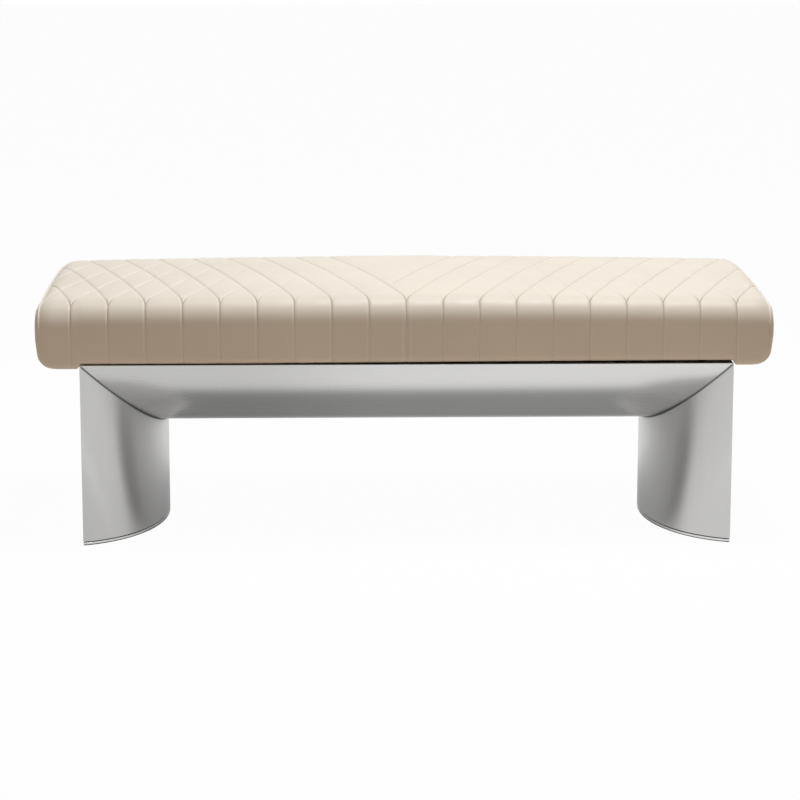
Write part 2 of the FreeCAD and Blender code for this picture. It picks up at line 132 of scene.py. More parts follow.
class BaseSettings(bpy.types.PropertyGroup):
    """Shape of the steel base."""

    bulge: length("Bulge", "Depth of the D section, from its flat face to its apex", 0.140)
    section_overrun: length("Section overrun", "Ellipse half-axis past half the base's depth",
                            0.006)
    skin: length("Skin", "Thickness of the curved skins", 0.0015)
    mitre_line: length("Mitre line", "Open line between a leg's skin and the beam's", 0.0029)
    edge: length("Edge", "Rounding of the steel's cut edges", 0.0006)
    facets: IntProperty(name="Facets", description="Flats round the whole ellipse", default=360)


class FinishSettings(bpy.types.PropertyGroup):
    """Colours of the finishes."""

    leather: colour("Leather", "Seat leather", (0.84, 0.765, 0.665))
    steel: colour("Steel", "Brushed steel", (0.69, 0.684, 0.672))


class StageSettings(bpy.types.PropertyGroup):
    """Camera and floor."""

    camera_place: FloatVectorProperty(name="Camera place", description="Where the camera stands",
                                      default=(-0.1111, -4.9916, 1.2646), unit="LENGTH", size=3)
    camera_tilt: turn("Camera tilt", "Below the horizon", 10.8404)
    camera_turn: turn("Camera turn", "From +Y towards +X", 1.1803)
    lens: plain_number("Lens", "Focal length in millimetres on a 36 mm sensor", 123.03)
    rise: plain_number("Rise", "Camera shift, as a share of the picture", -0.0625)
    floor_size: length("Floor size", "Side of the square floor", 30.0)


# ---- Small helpers ----

def deselect_all():
    if bpy.context.mode != "OBJECT":
        bpy.ops.object.mode_set(mode="OBJECT")
    bpy.ops.object.select_all(action="DESELECT")


def take_new(name):
    """The primitive that was just added, named."""
    piece = bpy.context.active_object
    piece.name = name
    piece.data.name = name
    return piece


def make_active(piece):
    deselect_all()
    piece.select_set(True)
    bpy.context.view_layer.objects.active = piece


@contextlib.contextmanager
def editing(piece):
    """Edit mode on a piece, with all of it selected."""
    make_active(piece)
    bpy.ops.object.mode_set(mode="EDIT")
    bpy.ops.mesh.select_all(action="SELECT")
    yield
    bpy.ops.object.mode_set(mode="OBJECT")


def modify(piece, kind, **values):
    """Adds a modifier, sets it and applies it."""
    make_active(piece)
    modifier = piece.modifiers.new(kind.title(), kind)
    for name, value in values.items():
        setattr(modifier, name, value)
    bpy.ops.object.modifier_apply(modifier=modifier.name)


def settle(piece):
    """Moves the object's place into its mesh."""
    make_active(piece)
    bpy.ops.object.transform_apply(location=True, rotation=True, scale=True)


def smooth(piece, angle=35):
    make_active(piece)
    bpy.ops.object.shade_smooth_by_angle(angle=math.radians(angle))


def face_out(piece):
    with editing(piece):
        bpy.ops.mesh.normals_make_consistent(inside=False)


def mesh_piece(name, points, faces):
    mesh = bpy.data.meshes.new(name)
    mesh.from_pydata([tuple(map(float, p)) for p in points], [], faces)
    mesh.validate()
    piece = bpy.data.objects.new(name, mesh)
    bpy.context.scene.collection.objects.link(piece)
    return piece


def band(low, high, count, turned=False):
    """Faces between two closed rings of count points each."""
    faces = []
    for k in range(count):
        after = (k + 1) % count
        face = (low * count + k, low * count + after, high * count + after, high * count + k)
        faces.append(face[::-1] if turned else face)
    return faces


def sheet_piece(name, rows, turned=False):
    """A sheet through rows of points that are all as long."""
    count = len(rows[0])
    faces = [(r * count + k, (r + 1) * count + k, (r + 1) * count + k + 1, r * count + k + 1)
             for r in range(len(rows) - 1) for k in range(count - 1)]
    if turned:
        faces = [face[::-1] for face in faces]
    return mesh_piece(name, np.concatenate(rows), faces)


def places(piece):
    flat = np.zeros(len(piece.data.vertices) * 3)
    piece.data.vertices.foreach_get("co", flat)
    return flat.reshape(-1, 3)


def set_places(piece, points):
    piece.data.vertices.foreach_set("co", np.asarray(points, float).ravel())
    piece.data.update()


def store(piece, name, values):
    attribute = piece.data.attributes.new(name, "FLOAT", "POINT")
    attribute.data.foreach_set("value", np.asarray(values, np.float32))


def read(piece, name):
    values = np.zeros(len(piece.data.vertices), np.float32)
    piece.data.attributes[name].data.foreach_get("value", values)
    return values.astype(float)


def paint(piece, material):
    piece.data.materials.clear()
    piece.data.materials.append(material)


def hand_over(piece, slot, finish, *replaced):
    """Gives a finished piece its body and its finish; the slot is not used."""
    paint(piece, finish_named(finish))
    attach(piece, BODY)
    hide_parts(*replaced)


def smooth_step(value, low, high):
    share = np.clip((np.asarray(value, float) - low) / (high - low), 0, 1)
    return share * share * (3 - 2 * share)


# ---- Finishes ----

class Nodes:
    """Short ways to add nodes to a tree. An input takes a value or another node's output."""

    def __init__(self, tree):
        self.nodes = tree.nodes
        self.links = tree.links

    def feed(self, socket, value):
        if isinstance(value, bpy.types.NodeSocket):
            self.links.new(value, socket)
        elif socket.type == "RGBA":
            socket.default_value = (*value, 1)
        else:
            socket.default_value = value

    def add(self, kind, inputs=None, **values):
        node = self.nodes.new("ShaderNode" + kind)
        for name, value in values.items():
            setattr(node, name, value)
        for key, value in (inputs or {}).items():
            self.feed(node.inputs[key], value)
        return node

    def place(self):
        """Object coordinates."""
        return self.add("TexCoord").outputs["Object"]

    def spread(self, value, low, high, from_low=0.3, from_high=0.7, kind="LINEAR"):
        return self.add("MapRange", {"Value": value, "From Min": from_low, "From Max": from_high,
                                     "To Min": low, "To Max": high},
                        interpolation_type=kind).outputs["Result"]

    def calculate(self, operation, first, second=0.0):
        return self.add("Math", {0: first, 1: second}, operation=operation).outputs["Value"]

    def blend(self, share, first, second):
        """A colour, from the first to the second as share goes from 0 to 1."""
        return self.add("Mix", {0: share, 6: first, 7: second}, data_type="RGBA").outputs[2]

    def between(self, share, first, second):
        """A number, from the first to the second as share goes from 0 to 1."""
        return self.add("Mix", {0: share, 2: first, 3: second}).outputs[0]

    def seen_directly(self, glossy_share):
        """1 for camera and transmission rays, and a share for glossy rays."""
        path = self.add("LightPath").outputs
        direct = self.calculate("MAXIMUM", path["Is Camera Ray"], path["Is Transmission Ray"])
        mirrored = self.calculate("MULTIPLY", path["Is Glossy Ray"], glossy_share)
        return self.calculate("MAXIMUM", direct, mirrored)


class Finish(Nodes):
    """A material with its principled shader."""

    def __init__(self, name, base, roughness, metallic, specular):
        self.material = bpy.data.materials.new(name)
        self.material.use_nodes = True
        super().__init__(self.material.node_tree)
        self.shader = self.nodes["Principled BSDF"]
        self.base = base
        self.roughness = roughness
        self.give("Base Color", base)
        self.give("Roughness", roughness)
        self.give("Metallic", metallic)
        self.give("Specular IOR Level", specular)

    def give(self, socket, value):
        self.feed(self.shader.inputs[socket], value)

    def stretched(self, scale=(1, 1, 1)):
        """Object coordinates, stretched along some axes."""
        return self.add("Mapping", {"Vector": self.place(), "Scale": scale}).outputs["Vector"]

    def noise(self, vector, scale, detail=3.0, roughness=0.5):
        return self.add("TexNoise", {"Vector": vector, "Scale": scale, "Detail": detail,
                                     "Roughness": roughness}).outputs["Fac"]

    def cells(self, vector, scale):
        return self.add("TexVoronoi", {"Vector": vector, "Scale": scale}).outputs["Distance"]

    def attribute(self, name):
        """A value that the mesh holds, 0 where it has none."""
        return self.add("Attribute", attribute_name=name).outputs["Fac"]

    def shade(self, value, dark, light):
        """Base colour, from dark to light shares of it as value goes from 0 to 1."""
        self.give("Base Color", self.blend(value, scaled(self.base, dark),
                                           scaled(self.base, light)))

    def mottle(self, noise, dark, light):
        self.shade(self.spread(noise, 0.0, 1.0), dark, light)

    def rough(self, noise, low, high):
        self.give("Roughness", self.spread(noise, low, high))

    def tint(self, value, colour_at_one):
        """Moves the base colour towards another as value goes from 0 to 1."""
        before = self.shader.inputs["Base Color"].links[0].from_socket
        self.give("Base Color", self.blend(value, before, colour_at_one))

    def bumped(self, height, distance, strength):
        self.give("Normal", self.add("Bump", {"Height": height, "Distance": distance,
                                              "Strength": strength}).outputs["Normal"])


def scaled(base, factor):
    return tuple(min(1.0, c * factor) for c in base)


def leather(finish, seams=None):
    """Smooth upholstery leather: a fine pebble, faint clouds of tone and a soft gloss."""
    where = finish.stretched()
    finish.mottle(finish.noise(where, scale=7.0), dark=0.965, light=1.02)
    # painted shade in the seams and painted highlight beside them
    if seams:
        seam_shade_and_highlight(finish, seams.pitch, seams.seam_shade_width)
    pores = finish.calculate("MULTIPLY", finish.noise(where, scale=1900.0, detail=2.0), 0.5)
    grain = finish.calculate("ADD", finish.cells(where, scale=850.0), pores)
    finish.bumped(grain, distance=0.00009, strength=0.55)
    finish.rough(finish.noise(where, scale=60.0, detail=4.0), low=0.44, high=0.56)
    finish.give("Sheen Weight", 0.06)
    finish.give("Sheen Roughness", 0.4)


SEAM_SHADE = (0.30, 0.22, 0.16)  # painted shade: shares of the leather's colour deep in a seam
# colour of the painted highlight beside a seam
SEAM_HIGHLIGHT = (1.0, 0.97, 0.92)
HIGHLIGHT_BESIDE = 1.9  # half widths from the painted shade line's middle to the painted highlight's
HIGHLIGHT_SIDE_CHANGE = 0.02  # the painted highlight changes sides within this of the middle


def seam_shade_and_highlight(finish, pitch, half_width):
    """Paints shade into the leather in its seams, and a painted highlight on the wall beside an
    upright seam. The mesh holds the seams' numbers, which run evenly from one seam to the next,
    and their painted shade and highlight."""

    def line_at(distance):
        return finish.spread(finish.calculate("ABSOLUTE", distance), 1.0, 0.0, 0.0, half_width)

    x = finish.add("SeparateXYZ", {0: finish.place()}).outputs["X"]
    outer_side = finish.spread(x, -1.0, 1.0, -HIGHLIGHT_SIDE_CHANGE, HIGHLIGHT_SIDE_CHANGE)
    seam_shading = {}
    for family in ("right", "left"):
        # the added whole number keeps the number over 0, and the half moves a seam to 0.5
        share = finish.calculate(
            "FRACT", finish.calculate("ADD", finish.attribute(family + "_line"), 100.5))
        offset = finish.calculate("MULTIPLY", finish.calculate("SUBTRACT", share, 0.5), pitch)
        beside = finish.calculate("SUBTRACT", finish.calculate("MULTIPLY", offset, outer_side),
                                  half_width * HIGHLIGHT_BESIDE)
        for tone, distance in (("dark", offset), ("pale", beside)):
            value = finish.calculate("MULTIPLY", line_at(distance),
                                     finish.attribute(f"{family}_{tone}"))
            if tone in seam_shading:
                value = finish.calculate("MAXIMUM", seam_shading[tone], value)
            seam_shading[tone] = value
    # painted shade deep in the seams, then painted highlight beside them
    finish.tint(seam_shading["dark"], tuple(c * f for c, f in zip(finish.base, SEAM_SHADE)))
    finish.tint(seam_shading["pale"], SEAM_HIGHLIGHT)


ACROSS_GRAIN, ALONG_GRAIN = 2600.0, 14.0  # noise scale of the brushing
ACROSS_STREAK, ALONG_STREAK = 90.0, 1.2


def brushed(finish, grain_axis, upright_smear=0.0):
    """Brushed stainless steel with its grain along one axis. The smear draws reflections out
    up and down."""

    def drawn_out(across, along, **noise):
        scale = [across] * 3
        scale["xyz".index(grain_axis)] = along
        return finish.noise(finish.stretched(scale), 1.0, **noise)

    lines = drawn_out(ACROSS_GRAIN, ALONG_GRAIN, detail=4.0, roughness=0.7)
    streaks = drawn_out(ACROSS_STREAK, ALONG_STREAK, detail=2.0)
    finish.mottle(streaks, dark=0.992, light=1.008)
    finish.rough(lines, low=finish.roughness - 0.02, high=finish.roughness + 0.03)
    finish.bumped(lines, distance=0.00002, strength=0.12)
    if upright_smear:
        finish.give("Tangent", finish.add("Tangent", direction_type="RADIAL",
                                          axis="Z").outputs["Tangent"])
        finish.give("Anisotropic", upright_smear)
        finish.give("Anisotropic Rotation", 0.25)


def plain_metal(finish):
    """Mill-finished or plated metal, with a faint mottle."""
    where = finish.stretched()
    finish.mottle(finish.noise(where, scale=140.0, detail=4.0), dark=0.85, light=1.08)
    finish.rough(finish.noise(where, scale=45.0), low=finish.roughness - 0.08,
                 high=finish.roughness + 0.1)
    finish.bumped(finish.noise(where, scale=1500.0, detail=2.0), distance=0.00002, strength=0.4)


def coated(finish, grain, depth):
    """Paint, rubber or felt: dark, with a fine grain of its own size."""
    grains = finish.noise(finish.stretched(), grain, roughness=0.65)
    finish.mottle(grains, dark=0.7, light=1.4)
    finish.bumped(grains, depth, strength=0.7)


def woven(finish, pitch, depth):
    """Plain weave in the XY plane."""
    warp, weft = [finish.add("TexWave", {"Vector": finish.place(), "Scale": 1 / (2 * pitch)},
                             wave_type="BANDS", bands_direction=axis).outputs["Fac"]
                  for axis in "XY"]
    height = finish.calculate("MAXIMUM", warp, weft)
    finish.shade(height, dark=0.6, light=1.3)
    finish.bumped(height, depth, strength=0.8)


def wood(finish):
    """Birch plywood: long grain along the bench."""
    grain = finish.noise(finish.stretched((6.0, 160.0, 700.0)), 1.0, detail=5.0, roughness=0.6)
    finish.mottle(grain, dark=0.75, light=1.2)
    finish.bumped(grain, distance=0.0001, strength=0.5)


def foam(finish, scale):
    pores = finish.cells(finish.stretched(), scale)
    finish.shade(pores, dark=0.8, light=1.1)
    finish.bumped(pores, distance=0.0006, strength=0.6)


FOAM, WADDING, BIRCH = (0.85, 0.78, 0.55), (0.88, 0.88, 0.85), (0.62, 0.44, 0.25)
LINING, FELT, RUBBER = (0.022, 0.022, 0.024), (0.03, 0.03, 0.032), (0.02, 0.02, 0.02)
MILL_STEEL, BLACK_PAINT, ZINC = (0.24, 0.24, 0.245), (0.022, 0.022, 0.023), (0.60, 0.61, 0.62)
LEG_STEEL_SHADE = 0.91  # the legs' steel against the beam's: a darker copy of the one steel, as painted shade
finishes = {}


def make(name, base, roughness, look, metallic=0.0, specular=0.5, **values):
    finish = Finish(name, base, roughness, metallic, specular)
    look(finish, **values)
    finishes[name] = finish.material


def finish_named(name):
    """The finish of that name. All are made at the first call."""
    if not finishes:
        scene = bpy.context.scene
        hide, steel = tuple(scene.bench_finish.leather), tuple(scene.bench_finish.steel)
        make("seat_leather", hide, 0.5, leather, specular=0.42)
        make("quilted_leather", hide, 0.5, leather, specular=0.42, seams=scene.bench_seat)
        make("base_steel", scaled(steel, LEG_STEEL_SHADE), 0.34, brushed, metallic=1.0,
             grain_axis="z", upright_smear=1.0)
        make("beam_steel", steel, 0.26, brushed, metallic=1.0, grain_axis="x")
        make("seat_foam", FOAM, 0.9, foam, specular=0.2, scale=700.0)
        make("wadding", WADDING, 0.9, foam, specular=0.2, scale=300.0)
        make("plywood", BIRCH, 0.6, wood, specular=0.3)
        make("black_lining", LINING, 0.85, woven, specular=0.25, pitch=0.0012, depth=0.00012)
        make("black_felt", FELT, 0.95, coated, specular=0.35, grain=900.0, depth=0.0003)
        make("black_steel", BLACK_PAINT, 0.5, coated, specular=0.35, grain=1200.0,
             depth=0.00006)
        make("black_rubber", RUBBER, 0.7, coated, specular=0.35, grain=1600.0, depth=0.00008)
        make("plain_steel", MILL_STEEL, 0.5, plain_metal, metallic=1.0)
        make("zinc_hardware", ZINC, 0.32, plain_metal, metallic=1.0)
    return finishes[name]


# ---- The seat's cross-section ----

HALF_SEAM = cover_high.x + 0.002  # from the middle to an end seam
END_ROLL_SHARE = 0.85  # at the end seam the roll has run this share of its radius
SIDE_ROLL = 0.6  # how much of the end roll the long sides take
BOTTOM_ROLL = 0.12  # and the underside
TUCK_SHARE = 0.84  # how much of a lower corner's radius its end is drawn in
TUCK_REACH = 2.2  # radii from the end seam over which that fades out
DROOP_FROM_TO = (0.5775, 0.5855)  # the padding hangs lower past the legs
SAG_FROM_TO = (-0.5, 0.5)  # where the sag starts and is full, counted towards the left
FREE_PAST_Y = (lining_high.y, lining_high.y + 0.018)  # beyond the lining the padding can hang
FREE_PAST_X = (lining_high.x, lining_high.x + 0.016)


class SeatSection:
    """The seat's outline across the bench: crown, edge arc, leaning side, bottom arc and
    underside. Places on it are measured over the leather from the middle of the top, minus to
    the front and plus to the back."""

    def __init__(self, seat):
        self.seat = seat
        self.half = cover_high.y
        self.top = seat_top
        self.bottom = cover_low.z
        self.edge = seat.edge_radius
        self.corner = seat.bottom_radius
        self.lean = math.atan(seat.side_lean / (self.top - self.bottom - self.edge
                                                - self.corner))
        self.side_angle = math.pi / 2 + self.lean
        flat_width = self.half - self.edge
        self.crown_radius = (flat_width ** 2 + seat.top_crown ** 2) / (2 * seat.top_crown)
        self.crown_angle = math.asin(flat_width / (self.crown_radius - self.edge))
        self.crown_end = self.crown_radius * self.crown_angle
        self.edge_end = self.crown_end + self.edge * (self.side_angle - self.crown_angle)
        self.crown_centre = (0.0, self.top - self.crown_radius)
        self.edge_centre = self.on_arc(self.crown_centre, self.crown_radius - self.edge,
                                       self.crown_angle)
        self.side_start = self.on_arc(self.edge_centre, self.edge, self.side_angle)
        corner_rise = self.corner * (1 + math.cos(self.side_angle))
        side = (self.side_start[1] - self.bottom - corner_rise) / math.cos(self.lean)
        self.side_end = self.edge_end + side
        corner_y = (self.side_start[0] - side * math.sin(self.lean)
                    - self.corner * math.sin(self.side_angle))
        self.corner_centre = (corner_y, self.bottom + self.corner)
        self.corner_end = self.side_end + self.corner * (math.pi - self.side_angle)
        self.hem = self.corner_end + seat.turn_under

    @staticmethod
    def on_arc(centre, radius, angle):
        return centre[0] + radius * np.sin(angle), centre[1] + radius * np.cos(angle)

    def at(self, along):
        """Y, Z and the outward normal's Y and Z at places along the leather."""
        along = np.asarray(along, float)
        run = np.abs(along)
        sign = np.where(along < 0, -1.0, 1.0)
        stretches = [run <= end for end in
                     (self.crown_end, self.edge_end, self.side_end, self.corner_end)]
        angle = np.select(stretches, [
            run / self.crown_radius,
            self.crown_angle + (run - self.crown_end) / self.edge,
            self.side_angle,
            self.side_angle + (run - self.side_end) / self.corner], math.pi)
        down = run - self.edge_end
        side = (self.side_start[0] - down * math.sin(self.lean),
                self.side_start[1] - down * math.cos(self.lean))
        parts = [self.on_arc(self.crown_centre, self.crown_radius, angle),
                 self.on_arc(self.edge_centre, self.edge, angle), side,
                 self.on_arc(self.corner_centre, self.corner, angle)]
        under = self.corner_centre[0] - (run - self.corner_end)
        y = np.select(stretches, [part[0] for part in parts], under)
        z = np.select(stretches, [part[1] for part in parts], self.bottom)
        return y * sign, z, np.sin(angle) * sign, np.cos(angle)

    def tuck_at(self, height):
        """How far an end is drawn in at a height over the seat's bottom: a round corner."""
        low = np.clip(1 - np.asarray(height) / self.seat.end_tuck, 0, 1)
        return TUCK_SHARE * self.seat.end_tuck * (1 - np.sqrt(1 - low ** 2))

    def skin(self, x, along, outwards=0.0):
        """Points on the seat's leather at x and at a place along its section."""
        seat = self.seat
        y, z, normal_y, normal_z = self.at(along)
        x = np.broadcast_to(np.asarray(x, float), y.shape)
        height = np.clip((z - self.bottom) / (self.top - self.bottom), 0, 1)
        reach = np.clip(1 - (HALF_SEAM - np.abs(x)) / seat.end_roll, 0, 1) * END_ROLL_SHARE
        rolled = seat.end_roll * (1 - np.sqrt(1 - reach ** 2))
        towards = np.where(normal_z > 0, 1 - SIDE_ROLL, SIDE_ROLL - BOTTOM_ROLL)
        move = outwards - rolled * (SIDE_ROLL + towards * normal_z)
        drop = (seat.long_crown * (x / HALF_SEAM) ** 2
                - seat.back_rise * smooth_step(y, -self.half, self.half)) * height
        free = np.maximum(smooth_step(np.abs(y), *FREE_PAST_Y),
                          smooth_step(np.abs(x), *FREE_PAST_X))
        stretch = np.where(x < 0, seat.left_stretch, 1.0)
        droop = seat.end_droop * smooth_step(np.abs(x) * stretch, *DROOP_FROM_TO)
        hang = (droop + seat.sag * smooth_step(-x, *SAG_FROM_TO)) * free * (1 - height)
        near_end = smooth_step(np.abs(x), HALF_SEAM - TUCK_REACH * seat.end_tuck, HALF_SEAM)
        x = (x - np.sign(x) * self.tuck_at(z - self.bottom) * near_end) * stretch
        return np.stack([x, y + normal_y * move, z + normal_z * move - drop - hang], -1)


# ---- The quilted wrap ----

NEAR_SEAM = (0.0, 0.015, 0.032, 0.055, 0.09, 0.15, 0.25, 0.37)  # shares of a pitch
SHARES = NEAR_SEAM + (0.5,) + tuple(1 - f for f in reversed(NEAR_SEAM[1:]))
CROSSINGS = 5  # pitches between the two seams that meet at a back kink
PITCHES = (-14, 11)  # more than the bench has, left and right of its middle
BEYOND_END = 0.012  # mesh past the end seam, before it is cut
ON_END = 0.0001  # what is nearer to an end seam than this is pinned
SIDE_ROW = 0.0052  # height of a row of faces on the front and the back
BEND_ROWS = 4
TABLE = np.linspace(0, 1.2, 4000)  # shares of the way over the top, to look a place up in


class Quilt:
    """Seams that fork at kinks along the front, cross over the top and meet at the back."""

    def __init__(self, section):
        seat = section.seat
        self.seat = seat
        self.section = section
        total = (seat.left_run * TABLE ** seat.left_curve
                 + seat.right_run * TABLE ** seat.right_curve)
        self.share_of = lambda shift: float(np.interp(shift, total, TABLE))
        self.per_pitch = len(SHARES)
        self.last = CROSSINGS * self.per_pitch
        back_kink = -seat.kink + 2 * seat.kink * self.share_of(CROSSINGS)
        self.rows = {"front": [-a for a in self.rows_from(seat.kink)],
                     "back": self.rows_from(back_kink)}
        self.points = []
        self.index = {}

    def value(self, i):
        return i // self.per_pitch + SHARES[i % self.per_pitch]

    def add(self, key, *point):
        if key not in self.index:
            self.index[key] = len(self.points)
            self.points.append(point)
        return self.index[key]

    def top(self, i, j):
        """The point where right-going line i crosses left-going line j."""
        seat = self.seat
        first, second = self.value(i), self.value(j)
        share = self.share_of(second - first)
        x = seat.pitch * (first + seat.right_run * share ** seat.right_curve)
        return self.add(("top", i, j), x, -seat.kink + 2 * seat.kink * share, first, second)

    def meeting(self, side, i):
        """The left-going line that right-going line i meets at a side, and x there."""
        j = i if side == "front" else i + self.last
        return j, self.points[self.top(i, j)][0]

    def down(self, side, i, row):
        """A point of line i down the front or the back, row 0 at its kink."""
        j, x = self.meeting(side, i)
        if row == 0:
            return self.top(i, j)
        return self.add((side, i, row), x, self.rows[side][row], self.value(i), self.value(j))

    def rows_from(self, start):
        """Places down a long side, from a kink to the hem."""
        section = self.section
        stops = [start, section.edge_end, section.side_end, section.corner_end, section.hem]
        rows = [start]
        for low, high in zip(stops, stops[1:]):
            count = max(BEND_ROWS, round((high - low) / SIDE_ROW))
            rows += list(np.linspace(low, high, count + 1)[1:])
        return rows

    def build(self):
        """Corner points as (x, along, right-going line, left-going line), and faces."""
        limit = HALF_SEAM + BEYOND_END
        lines = range(PITCHES[0] * self.per_pitch, PITCHES[1] * self.per_pitch)
        faces = []
        for i in lines:
            for j in range(i, i + self.last + 1):
                if abs(self.points[self.top(i, j)][0]) > limit:
                    continue
                corners = [(i, j), (i + 1, j), (i + 1, j + 1), (i, j + 1)]
                if j == i:
                    corners.pop(1)
                elif j == i + self.last:
                    corners.pop(3)
                faces.append(tuple(self.top(*corner) for corner in corners))
        for i in lines:
            for side, order in (("front", (0, 1, 2, 3)), ("back", (0, 3, 2, 1))):
                if abs(self.meeting(side, i)[1]) > limit:
                    continue
                for row in range(len(self.rows[side]) - 1):
                    corners = ((i, row), (i, row + 1), (i + 1, row + 1), (i + 1, row))
                    faces.append(tuple(self.down(side, *corners[k]) for k in order))
        return np.array(self.points), faces


FIRST_RIGHT_SEAM = -1  # right-going seams from here on are the deep ones
DEEP_RIGHT_FROM = (-0.034, -0.018)  # x over which they become so
LAST_LEFT_SEAM = 0  # left-going seams up to here are the deep ones
FAINT_UP_TO = 0.43  # from here outwards the crossing seams are as deep
FAINT_POWER = 1.2
FAINT_AT_BACK = 0.7  # how much of their depth they keep at the back
BACK_SLACK = 0.75  # how much of their depth the back's middle seams lose
BACK_SLACK_X = (0.05, 0.17)
CREASE_POWER = 1.6
PUFF_REACH = 0.009
SEAM_SLOPE = 0.94  # cosine of the seams' angle to the bench's cross direction
KINK_REACH = 0.07  # how far from a kink its painted seam shade and highlight reach
SEAM_SHADE_KINK, SEAM_SHADE_LOW, SEAM_SHADE_TOP = 0.82, 0.10, 0.48  # painted shade in a seam: at the kinks, down the side, on the top
SEAM_HIGHLIGHT_KINK, SEAM_HIGHLIGHT_LOW, SEAM_HIGHLIGHT_TOP = 0.10, 0.36, 0.14  # the same, for the painted highlight beside a seam
SLACK_SHADE = 0.68  # a slack crossing seam gets less painted shade
SLACK_HIGHLIGHT = 0.24  # and more painted highlight
ON_LINE = 1e-4  # a point this near to a line, in pitches, lies on it
ON_SEAM = 1e-5  # a point this near to a seam is stitched


def quilt_relief(section, x, along, lines):
    """The leather's height over its section, how hard it is stitched down, and the seams'
    painted shade and painted highlight. The lines hold each point's number in each family of
    seams."""
    seat = section.seat
    first, second = lines["right"], lines["left"]
    on_top = (along > -seat.kink - MERGE) & (np.abs(first - second) > ON_LINE)
    on_back = np.abs(second - first - CROSSINGS) < ON_LINE
    upright = ~on_top | on_back
    slope = np.where(upright, 1.0, SEAM_SLOPE)
    outer = np.clip(np.abs(x) / FAINT_UP_TO, 0, 1) ** FAINT_POWER
    faint = outer * (1 - (1 - FAINT_AT_BACK) * smooth_step(along, -seat.kink, seat.kink))
    middle = 1 - smooth_step(np.abs(x), *BACK_SLACK_X)
    held = np.where(on_back, 1 - BACK_SLACK * middle, 1.0)
    fade = 1 - smooth_step(np.abs(along), section.side_end, section.corner_end)
    from_kink = smooth_step(np.abs(along + seat.kink), 0.0, KINK_REACH)
    down = smooth_step((-seat.kink - along) / (section.side_end - seat.kink), 0.0, 0.5)
    on_front = along < -seat.kink + MERGE
    # painted shade in the seams (dark) and painted highlight beside them (pale)
    dark = np.where(on_front, SEAM_SHADE_KINK + (SEAM_SHADE_LOW - SEAM_SHADE_KINK) * down,
                    SEAM_SHADE_KINK + (SEAM_SHADE_TOP - SEAM_SHADE_KINK) * from_kink)
    pale = np.where(on_front, SEAM_HIGHLIGHT_KINK + (SEAM_HIGHLIGHT_LOW - SEAM_HIGHLIGHT_KINK) * down, SEAM_HIGHLIGHT_TOP * from_kink)
    deep = {"right": (np.round(first) >= FIRST_RIGHT_SEAM) * smooth_step(x, *DEEP_RIGHT_FROM),
            "left": 1.0 * (np.round(second) <= LAST_LEFT_SEAM)}
    drawn, stitched, lift, seam_shading = 0.0, 0.0, 1.0, {}
    for family, line in lines.items():
        distance = np.abs(line - np.round(line)) * seat.pitch * slope
        weight = np.where(upright, held, np.maximum(faint, deep[family]))
        crease = np.clip(1 - distance / seat.crease_reach, 0, 1) ** CREASE_POWER
        drawn = np.maximum(drawn, crease * weight)
        lift = lift * (1 - np.exp(-distance / PUFF_REACH) * weight)
        stitched = np.maximum(stitched, (distance < ON_SEAM) * weight)
        slack = np.where(upright, 0.0, (1 - deep[family]) * from_kink)
        # each seam's painted shade and painted highlight, for the leather's shader
        seam_shading[family + "_dark"] = dark * (1 - SLACK_SHADE * slack) * weight * fade
        seam_shading[family + "_pale"] = (pale + SLACK_HIGHLIGHT * slack) * weight * fade
    return (seat.puff * lift - seat.crease_depth * drawn) * fade, stitched, seam_shading


CLOTH = {"quality": 4, "mass": 0.3, "tension_stiffness": 25, "compression_stiffness": 25,
         "shear_stiffness": 12, "bending_stiffness": 3, "use_pressure": True,
         "uniform_pressure_force": 4.0}
CLOTH_FRAMES = 20
LEAST_PIN = 0.01


def swell(piece, weights, limit):
    """Lets air pressure swell the leather between its stitches, and keeps the result."""
    start = places(piece)
    scene = bpy.context.scene
    stitches = piece.vertex_groups.new(name="stitched")
    for index in np.nonzero(weights > LEAST_PIN)[0]:
        stitches.add([int(index)], float(weights[index]), "REPLACE")
    modifier = piece.modifiers.new("Swell", "CLOTH")
    for name, value in CLOTH.items():
        setattr(modifier.settings, name, value)
    modifier.settings.vertex_group_mass = stitches.name
    modifier.settings.effector_weights.gravity = 0
    modifier.collision_settings.use_collision = False
    modifier.point_cache.frame_start = 1
    modifier.point_cache.frame_end = CLOTH_FRAMES
    for number in range(1, CLOTH_FRAMES + 1):
        scene.frame_set(number)
    make_active(piece)
    bpy.ops.object.modifier_apply(modifier=modifier.name)
    scene.frame_set(1)
    piece.vertex_groups.clear()
    moved = places(piece) - start
    distance = np.linalg.norm(moved, axis=1, keepdims=True)
    held = limit * np.tanh(distance / limit)
    set_places(piece, start + moved * (held / np.maximum(distance, 1e-9)))


FLAP_START = 0.603  # the turned-under end leather reaches in to this x
FLAP_LAP = 0.001  # and laps the long sides' leather by this
FLAP_GRID = (26, 90)


def end_flap(section, sign):
    """The leather turned under at an end, between the two long sides' turned strips."""
    across = 2 * section.corner_centre[0]
    far_hem = section.corner_end + across - section.seat.turn_under
    stations = np.linspace(FLAP_START, HALF_SEAM, FLAP_GRID[0])
    along = np.linspace(section.hem - FLAP_LAP, far_hem + FLAP_LAP, FLAP_GRID[1])
    rows = [section.skin(sign * x, along) for x in stations]
    return sheet_piece("end_flap", rows, sign > 0)


